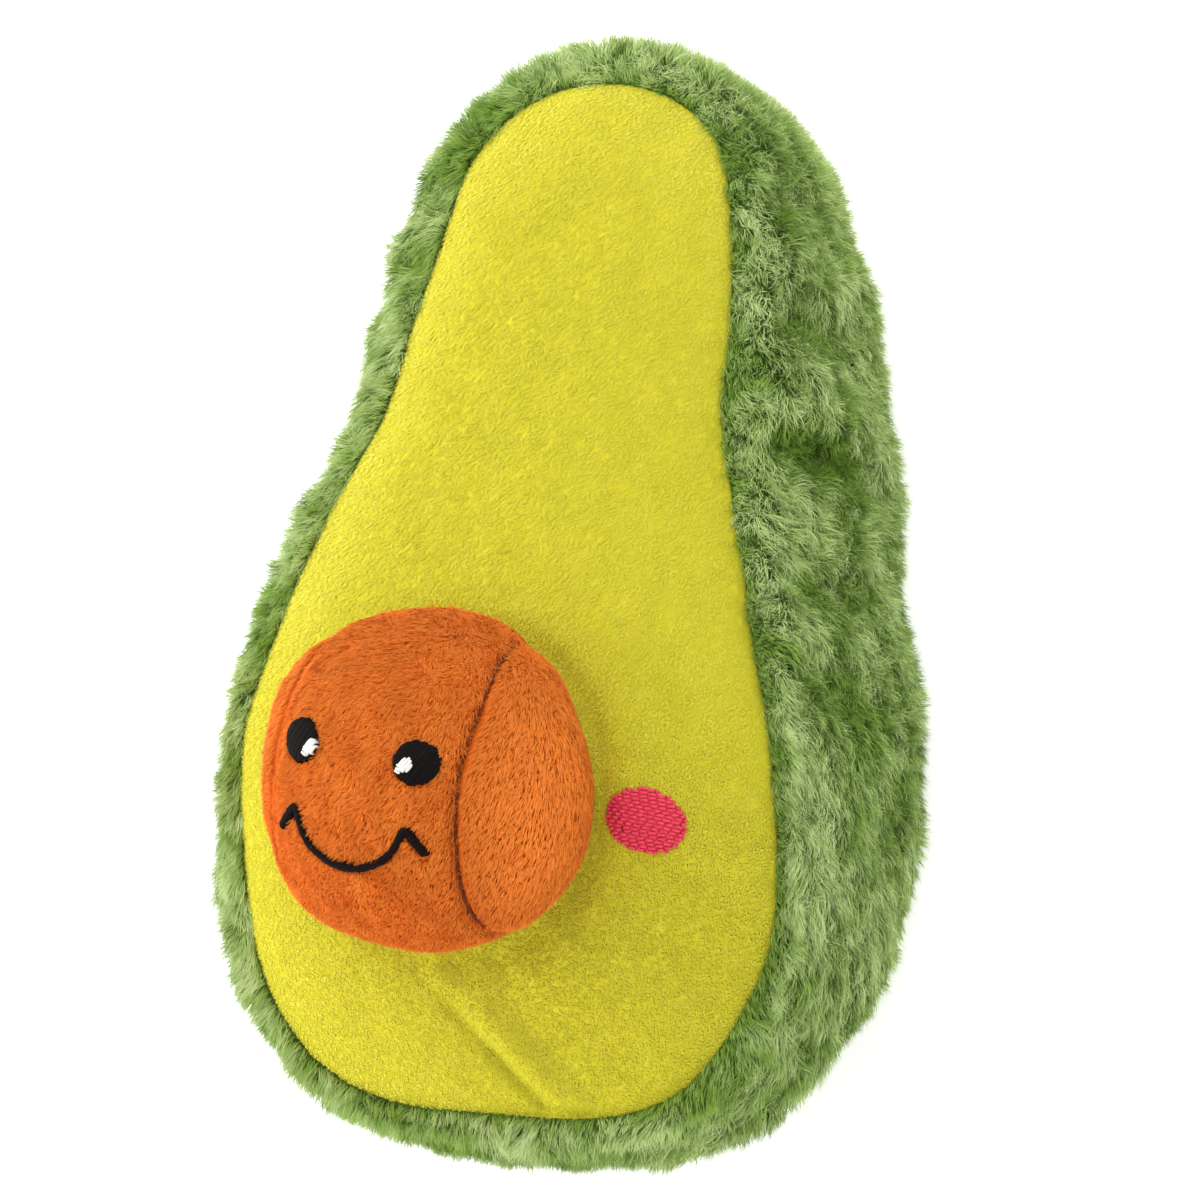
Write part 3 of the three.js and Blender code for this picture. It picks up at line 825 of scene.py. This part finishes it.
def pit_uneven(a, b):
    """Less over the whole for the pile's length, and uneven at the outline."""
    shift = np.interp(np.degrees(np.arctan2(b, a)) % 360, *zip(*PIT_SHIFTS), period=360)
    lump = 0.35 * lumps(np.stack([a, 0 * a, b], -1), 22.0, 3)
    return (shift + 0.5) * np.clip(np.hypot(a, b) / PIT_RADIUS, 0, 1) ** 3 - 0.5 + lump


def pit_surface(a, turn, growth=0.0):
    """A point over the pit: a across its face and turn round that line, 0 straight ahead."""
    a = np.clip(a, -PIT_RADIUS, PIT_RADIUS)
    ring = np.sqrt(np.clip(1 - (a / PIT_RADIUS) ** 2, 0, 1))
    growth = growth + pit_uneven(a, PIT_RADIUS * ring * np.sin(turn))
    return on_pit(
        a * (1 + growth / PIT_RADIUS),
        -(PIT_REACH + growth) * ring * np.cos(turn),
        (PIT_RADIUS + growth) * ring * np.sin(turn),
    )


def height_over_face(points):
    return front_y(points[..., 0], points[..., 2]) - points[..., 1]


def meets_face(path, low, high, steps=300):
    """The first place from low to high at which a path goes under the yellow face."""
    t = np.linspace(0, 1, steps)[:, None]
    at = low + (high - low) * t
    height = height_over_face(path(at))
    under_face = height < 0
    first = np.where(under_face.any(0), under_face.argmax(0), steps - 1)
    return at[first, np.arange(at.shape[1])]


def seam_at(turn, side=1):
    """How far across the pit its seam runs: the right one leans in towards the top."""
    return PIT_SEAM - (side > 0) * np.interp(np.degrees(turn), *zip(*SEAM_DRIFT), period=360)


def seam_pinch(distance):
    return 1.8 * hump(distance, 0, 0.9) + 0.5 * hump(distance, 0, 3.0)


def pit_panel(columns, rows):
    """The middle panel, between both seams."""
    a = np.linspace(-PIT_SEAM, PIT_SEAM, columns)[None, :]

    def path(turn):
        return pit_surface(a + 0 * turn, turn)

    low, high = [meets_face(path, 0 * a[0], np.full(columns, end)) for end in (-2.4, 2.4)]
    turn = low + (high - low) * np.linspace(0, 1, rows)[:, None]
    across = np.where(a > 0, a * seam_at(turn) / PIT_SEAM, a)
    gap = np.where(a > 0, seam_at(turn), PIT_SEAM) - np.abs(across)
    return pit_surface(across, turn, -seam_pinch(gap))


def pit_side(side, columns, rows):
    """A side panel, from its middle out to its seam or to the yellow face."""
    turn = np.linspace(-math.pi, math.pi, columns, endpoint=False)[None, :]
    far = np.arccos(seam_at(turn[0], side) / PIT_RADIUS)

    def path(alpha):
        return pit_surface(side * PIT_RADIUS * np.cos(alpha), turn + 0 * alpha)

    end = meets_face(path, np.zeros(columns), far)
    alpha = end * np.linspace(0.0, 1, rows)[:, None] ** 0.8
    a = side * PIT_RADIUS * np.cos(alpha)
    turn = turn + 0 * a
    return pit_surface(a, turn, -seam_pinch(np.abs(a) - seam_at(turn, side)))


orange = plush("orange_plush", linear(190, 80, 16), linear(214, 98, 26), linear(232, 122, 42), 1.8, 0.6)
orange_pile = strand_material(
    "orange_pile",
    linear(186, 86, 20), linear(203, 101, 30), linear(221, 123, 48),
    linear(220, 103, 22), linear(239, 125, 34), linear(251, 154, 68),
)
yellow_pile = strand_material(
    "yellow_pile",
    linear(190, 182, 32), linear(193, 186, 36), linear(198, 191, 42),
    linear(222, 214, 54), linear(230, 222, 70), linear(242, 234, 104),
)

LEFT_PEAK, LEFT_TICK = [(-x, z) for x, z in (MOUTH_PEAK, MOUTH_TICK)]
MOUTH_PATH = spline([LEFT_PEAK, *MOUTH_BOW, MOUTH_PEAK], 120, False)


def on_ball(a, b, growth=0.0):
    """A point over the pit's front, from its place across and up the face."""
    a, b = np.asarray(a, float), np.asarray(b, float)
    ahead = np.sqrt(np.clip(1 - (a ** 2 + b ** 2) / PIT_RADIUS ** 2, 0, 1))
    growth = growth + pit_uneven(a, b)
    return on_pit(a * (1 + growth / PIT_RADIUS), -(PIT_REACH + growth) * ahead, b * (1 + growth / PIT_RADIUS))


def bare(a, b):
    """Where the embroidery leaves no room for pile."""
    near = np.hypot(np.abs(a) - EYE_SPREAD, b - EYE_RISE) < EYE_SIZE / 2
    ticks = [np.linspace(MOUTH_PEAK, MOUTH_TICK, 12), np.linspace(LEFT_PEAK, LEFT_TICK, 12)]
    for x, z in np.vstack([MOUTH_PATH, *ticks]):
        near |= np.hypot(a - x, b - z) < 0.85
    return near


def short_pile(
        name, points, normals, density, length, lean, mat, rng, closed, keep, width, bright, uneven,
        squashed=False):
    """Short strands where keep says so, as light as bright says."""
    roots, normals, _, _ = scattered(points, normals, density, rng, closed)
    chosen = keep(roots)
    roots, normals = roots[chosen], normals[chosen]
    count = len(roots)
    wave = np.stack([lumps(roots, 6.0, 71 + k) for k in range(3)], -1)
    with_nap = eased(normals @ unit(lean) * 1.6)
    upright = 0.5 + 0.5 * with_nap
    way = unit(normals * upright[:, None] + lean + uneven * (wave * 0.25 + rng.normal(0, 0.2, (count, 3))))
    way = unit(way + normals * np.clip(0.3 - (way * normals).sum(-1, keepdims=True), 0, 1))
    tips = roots + way * (length * (1 - 0.45 * with_nap) * rng.uniform(0.7, 1.2, count))[:, None]
    tips, _ = clumped(roots, tips, 3.2, rng.uniform(0.0, 0.4, count), rng)
    tone = 0.45 + bright(roots) + uneven * (0.15 * lumps(roots, 9.0, 15) + rng.normal(0, 0.1, count))
    tone = np.clip(tone, 0, 1)
    widths = width * rng.uniform(0.8, 1.2, count)
    for piece in strand_mesh(name, roots, normals, tips, widths, tone, rng, 0.4, (0.0, 0.5), 0.2 * uneven):
        dress(piece, mat, squashed=squashed)


def from_pit(points):
    """From the upright frame to the pit's own: across, deep and up."""
    p = points - PIT_CENTRE
    a, b = twisted(p[..., 0], p[..., 2], -1)
    ct, st = math.cos(PIT_TILT), math.sin(PIT_TILT)
    return a, p[..., 1] * ct + b * st, b * ct - p[..., 1] * st


# Each panel's surface, whether its columns close, how uneven its pile is and how light: the face panel's pile
# darker towards its top, the right panel's with painted light, a painted sheen, towards its right edge
pit_parts = [
    ("pit_face_panel", pit_panel(110, 220), False, 1.5, lambda a, b: -0.05 - 0.25 * eased((b - 2) / 24)),
    ("pit_side_panel_left", pit_side(-1, 200, 50), True, 1.0, lambda a, b: 0 * a),
    # Painted sheen: the right side panel's pile lighter towards its right edge
    ("pit_side_panel_right", pit_side(1, 200, 50), True, 0.6, lambda a, b: 0.6 * eased((a - 20) / 12) - 0.15),
]
nap = on_pit(-0.55, 0.0, -1.0) - PIT_CENTRE
rng = np.random.default_rng(23)
for cad_name, points, closed, uneven, bright in pit_parts:
    normals = grid_normals(points, closed)
    away = points - PIT_CENTRE
    if (normals * away).sum(-1).mean() < 0:
        normals = -normals
    # The cloth's grid is turned about where its faces would look inwards
    middle = len(points) // 2
    span = np.cross(points[middle + 1, 2] - points[middle, 2], points[middle, 3] - points[middle, 2])
    order = slice(None) if (span * away[middle, 2]).sum() < 0 else slice(None, None, -1)
    cover = shell(cad_name + "_plush", points[:, order], PIT_CLOTH, closed, -normals[:, order], closed)
    dress(welded(cover), orange, nodes=[cad_name], squashed=True)

    def keep(roots):
        pa, pd, pb = from_pit(roots)
        turn = np.arctan2(pb / PIT_RADIUS, -pd / PIT_REACH)
        seam = np.minimum(np.abs(pa - seam_at(turn)), np.abs(pa + PIT_SEAM)) < 0.6
        return (height_over_face(roots) > 0.2) & ~(bare(pa, pb) & (pd < 0)) & ~seam

    def light(roots):
        return bright(*from_pit(roots)[::2])

    short_pile(
        cad_name + "_pile", points, normals, PIT_DENSITY, PIT_LENGTH, nap * 0.8, orange_pile,
        rng, closed, keep, PIT_STRAND, light, uneven, True)


# Embroidery
def tubes(name, paths, radii):
    """Six-sided threads along paths of equal counts of points: (thread, point, 3) and radii."""
    along = unit(np.gradient(paths, axis=1))
    hint = unit(paths.mean(1, keepdims=True) - PIT_CENTRE - np.array([0, 20.0, 0]))
    side = unit(np.cross(along, hint))
    other = np.cross(side, along)
    angle = np.linspace(0, 2 * math.pi, 6, endpoint=False)[:, None]
    ring = side[:, :, None] * np.cos(angle) + other[:, :, None] * np.sin(angle)
    points = paths[:, :, None] + ring * radii[:, :, None, None]
    index = np.arange(points.size // 3).reshape(points.shape[:3])
    beside = np.roll(index, -1, 2)
    quads = np.stack([index[:, :-1], index[:, 1:], beside[:, 1:], beside[:, :-1]], -1).reshape(-1, 4)
    caps = []
    for thread in index:
        for cap in ([0, 1, 2, 3], [0, 3, 4, 5]):
            caps += [thread[0, cap], thread[-1, cap[::-1]]]
    return polygons(name, points.reshape(-1, 3), np.concatenate([quads, np.array(caps)]))


def satin(centre, width, height, degrees, rng, pitch, lift, radius, puff):
    """Parallel threads that cover an oval on the pit's front."""
    angle = math.radians(degrees)
    ca, sa = math.cos(angle), math.sin(angle)
    paths, radii = [], []
    across = np.arange(-height / 2 + pitch / 2, height / 2, pitch)
    for v in across:
        half = width / 2 * math.sqrt(max(1 - (v / (height / 2)) ** 2, 0.02)) + rng.uniform(-0.15, 0.25)
        u = np.linspace(-1, 1, 13) * half
        vv = v + rng.uniform(-0.08, 0.08) + 0 * u
        a = centre[0] + u * ca - vv * sa
        b = centre[1] + u * sa + vv * ca
        swell = puff * np.sqrt(np.clip(1 - (v / (height / 2 + 0.3)) ** 2, 0, 1))
        growth = lift + swell * np.sqrt(np.clip(1 - (u / half) ** 2, 0, 1)) - 0.7 * (np.abs(u / half) > 0.999)
        paths.append(on_ball(a, b, growth))
        radii.append(radius * (0.85 + 0.3 * np.clip(1 - (u / half) ** 4, 0, 1)))
    return np.array(paths), np.array(radii)


black = thread_material("black_thread", linear(5, 4, 3), linear(18, 13, 11), 0.5, 0.8, 0.12)
brown = thread_material("brown_thread", linear(8, 5, 4), linear(26, 16, 12), 0.5, 0.8, 0.1)
white = thread_material("white_thread", linear(206, 204, 196), linear(240, 240, 234))
pink = thread_material("pink_thread", linear(202, 40, 66), linear(234, 78, 98), 0.6, 0.6)
rng = np.random.default_rng(41)
for name, side in (("left", -1), ("right", 1)):
    centre = (side * EYE_SPREAD, EYE_RISE)
    paths, radii = satin(centre, EYE_SIZE, EYE_SIZE, 68, rng, pitch=0.42, lift=0.6, radius=0.3, puff=0.9)
    stitches = tubes(f"eye_{name}_stitches", paths, radii)
    dress(stitches, black, nodes=[f"eye_{name}"], squashed=True)
    # A glint has a broad patch and a narrow one beside it
    centre = (side * (EYE_SPREAD - 2.0) + (0.3 if side > 0 else 1.2), EYE_RISE - 0.9)
    paths, radii = satin(centre, 2.7, 2.4, 62, rng, pitch=0.55, lift=1.5, radius=0.32, puff=0.4)
    centre = (centre[0] - 0.9, centre[1] - 0.7)
    more, thin = satin(centre, 1.3, 2.2, -20, rng, pitch=0.55, lift=1.5, radius=0.24, puff=0.3)
    paths, radii = np.concatenate([paths, more]), np.concatenate([radii, thin])
    stitches = tubes(f"eye_glint_{name}_stitches", paths, radii)
    dress(stitches, white, nodes=[f"eye_glint_{name}"], squashed=True)


def column_stitches(line, width, pitch, slant, lift, rng):
    """Short threads laid across a line on the pit, side by side."""
    run = np.concatenate([[0], np.cumsum(np.linalg.norm(np.diff(line, axis=0), axis=1))])
    paths, radii = [], []
    for s in np.arange(0, run[-1], pitch):
        before, centre, ahead = [
            np.array([np.interp(s + step, run, line[:, k]) for k in range(2)]) for step in (-0.5, 0, 0.5)
        ]
        d = (ahead - before) / np.linalg.norm(ahead - before)
        q = np.array([-d[1], d[0]]) * math.cos(slant) + d * math.sin(slant)
        half = width / 2 * (0.8 + 0.35 * math.sin(math.pi * s / run[-1])) + rng.uniform(-0.12, 0.2)
        u = np.linspace(-1, 1, 7)
        spot = centre + q * (u * half)[:, None]
        growth = lift + 0.45 * np.sqrt(1 - u ** 2) - 0.6 * (np.abs(u) > 0.99)
        paths.append(on_ball(spot[:, 0], spot[:, 1], growth))
        radii.append(np.full(7, 0.24))
    return paths, radii


SEAM_POINTS = 160
beat = np.arange(SEAM_POINTS) * 1.1
seams = []
for side in (-1, 1):
    turn = np.linspace(-2.0, 2.0, SEAM_POINTS)
    above = height_over_face(pit_surface(side * seam_at(turn, side), turn, -1.75)) > 0.3
    turn = np.linspace(*turn[np.flatnonzero(above)[[0, -1]]], SEAM_POINTS)
    across = side * seam_at(turn, side) + 0.15 * np.sin(beat)
    seams.append(pit_surface(across, turn, -1.55 + 0.1 * np.cos(beat)))
dark = thread_material("seam_thread", linear(78, 30, 10), linear(120, 52, 20), 0.5, 0.8)
seam_threads = tubes("pit_seam_threads", np.array(seams), np.full((2, SEAM_POINTS), 0.3))
dress(seam_threads, dark, squashed=True)

all_paths, all_radii = [], []
for line, width in (
    (np.linspace(LEFT_TICK, LEFT_PEAK, 20), TICK_WIDTHS[0]),
    (MOUTH_PATH, MOUTH_WIDTH),
    (np.linspace(MOUTH_PEAK, MOUTH_TICK, 20), TICK_WIDTHS[1]),
):
    paths, radii = column_stitches(line, width, 0.36, math.radians(18), 0.7, rng)
    all_paths += paths
    all_radii += radii
mouth = tubes("mouth_stitches", np.array(all_paths), np.array(all_radii))
dress(mouth, brown, nodes=["mouth"], squashed=True)


def on_face(centre):
    """Places on the yellow face round a centre, for stitches."""
    def place(a, b, growth):
        x, z = centre[0] + a, centre[1] + b
        y = front_y(x, z)
        step = 0.5
        nx = (front_y(x + step, z) - front_y(x - step, z)) / (2 * step)
        nz = (front_y(x, z + step) - front_y(x, z - step)) / (2 * step)
        n = unit(np.stack([nx, -np.ones_like(nx), nz], -1))
        return np.stack([x, y, z], -1) + n * np.asarray(growth)[..., None]
    return place


def cheek_centre(side):
    x, z = twisted(side * CHEEK_SPREAD + (LEFT_CHEEK_IN if side < 0 else 0), CHEEK_RISE)
    return PIT_CENTRE[0] + x, PIT_CENTRE[2] + z


def underlay(name, centre):
    """The patch of cloth that the fill stitches cover."""
    place = on_face(centre)
    turn = np.linspace(0, 2 * math.pi, 64, endpoint=False)[None, :]
    share = np.linspace(0, 0.97, 12)[:, None]
    a, b = share * CHEEK_WIDTH / 2 * np.cos(turn), share * CHEEK_HEIGHT / 2 * np.sin(turn)
    return welded(shell(name, place(a, b, np.full(a.shape, 0.35)), 0.6, True, BACKWARDS, True))


def fill_stitches(centre, rng):
    """Rows of short stitches, each row shifted against the last."""
    place = on_face(centre)
    ca, sa = math.cos(CHEEK_SLANT), math.sin(CHEEK_SLANT)
    paths, radii = [], []
    for k, v in enumerate(np.arange(-CHEEK_HEIGHT / 2 + 0.4, CHEEK_HEIGHT / 2, CHEEK_ROW)):
        half = CHEEK_WIDTH / 2 * math.sqrt(max(1 - (v / (CHEEK_HEIGHT / 2)) ** 2, 0)) + rng.uniform(-0.3, 0.4)
        shift = (k * 0.37 % 1) * CHEEK_STITCH
        steps = np.arange(-half - CHEEK_STITCH + shift, half, CHEEK_STITCH)
        ends = np.unique(np.clip([-half, *steps, half], -half, half))
        for u0, u1 in zip(ends[:-1], ends[1:]):
            if u1 - u0 < 0.35:
                continue
            t = np.linspace(0, 1, 7)
            u = u0 + (u1 - u0) * t
            vv = v + 0.16 * (t - 0.5) + rng.uniform(-0.05, 0.05)
            growth = 0.28 + 0.22 * np.sin(math.pi * t) ** 0.6
            a = u * ca + vv * sa
            b = -u * sa + vv * ca
            paths.append(place(a, b, growth))
            radii.append(0.2 + 0.14 * np.sin(math.pi * t) ** 0.5)
    return np.array(paths), np.array(radii)


rng = np.random.default_rng(53)
for name, side in (("left", -1), ("right", 1)):
    centre = cheek_centre(side)
    paths, radii = fill_stitches(centre, rng)
    dress(tubes(f"cheek_{name}_stitches", paths, radii), pink, nodes=[f"cheek_{name}"])
    dress(underlay(f"cheek_{name}_underlay", centre), pink)


# Short pile of the yellow face
def face_keep(roots):
    """The yellow pile leaves out what the pit and the cheeks cover."""
    a, _, b = from_pit(roots)
    ok = np.hypot(a, b) > 0.8 * PIT_RADIUS
    for side in (-1, 1):
        x, z = cheek_centre(side)
        across = (roots[:, 0] - x) / (CHEEK_WIDTH / 2 - 0.2)
        up = (roots[:, 2] - z) / (CHEEK_HEIGHT / 2 - 0.2)
        ok &= np.hypot(across, up) > 1
    return ok


rng = np.random.default_rng(61)
nap = np.array([-0.45, 0, -0.7])


def painted_edge_sheen(roots):
    """Painted sheen: the pile made lighter where it turns away at the left and the top, and painted light
    towards the foot.
    """
    share = share_at(roots[:, 0], roots[:, 2])[0]
    left = eased(0.2 - roots[:, 0] / 40) + 0.5 * eased((roots[:, 2] - 150) / 50)
    edge = 0.6 * eased((share - 0.45) / 0.5) + 0.5 * eased((share - 0.88) / 0.1)
    return edge * np.clip(left, 0, 1) + 0.15 * eased((60 - roots[:, 2]) / 60) - 0.12


short_pile(
    "front_panel_pile", face, face_normals, FACE_DENSITY, FACE_LENGTH, nap, yellow_pile, rng,
    True, face_keep, FACE_STRAND, painted_edge_sheen, 0.4)


# Filling and squeaker
def softened(name, cad_name, voxel, mat, inward):
    """A filling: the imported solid's form, remeshed and eased."""
    mesh = frame["nodes"][cad_name].data.copy()
    obj = bpy.data.objects.new(name, mesh)
    bpy.context.scene.collection.objects.link(obj)
    remesh = obj.modifiers.new("remesh", "REMESH")
    remesh.mode = "VOXEL"
    remesh.voxel_size = voxel * MM
    ease = obj.modifiers.new("ease", "SMOOTH")
    ease.iterations = 6
    ease.factor = 0.5
    inset = obj.modifiers.new("inset", "DISPLACE")
    inset.strength = -inward * MM
    inset.mid_level = 0
    graph = bpy.context.evaluated_depsgraph_get()
    made = bpy.data.meshes.new_from_object(obj.evaluated_get(graph))
    obj.modifiers.clear()
    obj.data = made
    for polygon in made.polygons:
        polygon.use_smooth = True
    dress(obj, mat, nodes=[cad_name])
    return obj


fibre = plain_material("fibre_filling", linear(226, 224, 216), linear(248, 247, 242), 0.95, 300)
softened("body_filling", "body_stuffing", 2.0, fibre, 2.0)
filling = softened("pit_filling", "pit_stuffing", 1.6, fibre, 3.2)
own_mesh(filling)

moulded = plain_material("squeaker_plastic", linear(226, 223, 214), linear(240, 238, 230), 0.4, 40)
film = plain_material("reed_film", linear(206, 204, 196), linear(224, 222, 214), 0.25, 120)
for node_name, obj in frame["nodes"].items():
    if node_name.startswith("squeaker"):
        paint(obj, film if node_name.endswith("tongue") else moulded)

# The squeaker's pleated wall, in front of its fixed end
fold = np.arange(13)
profile_r = PLEATS_RADIUS - PLEATS_DEPTH * (1 - np.cos(fold * math.pi / 2)) / 2
profile_y = PLEATS_END - PLEATS_LENGTH * (1 - fold / 12)
turn = np.linspace(0, 2 * math.pi, 72, endpoint=False)[None, :]


def turned_rows(radius, depth):
    x, z = radius[:, None] * np.cos(turn), radius[:, None] * np.sin(turn)
    return np.stack([PIT_CENTRE[0] + x, depth[:, None] + 0 * turn, PIT_CENTRE[2] + z], -1)


outer = turned_rows(profile_r, profile_y)
lining = turned_rows(profile_r - PLEATS_WALL, profile_y)
pleats = grid_mesh("squeaker_bellows", np.concatenate([outer, lining[::-1]]), True)
dress(pleats, moulded, nodes=["squeaker_pleats"])
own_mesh(pleats)
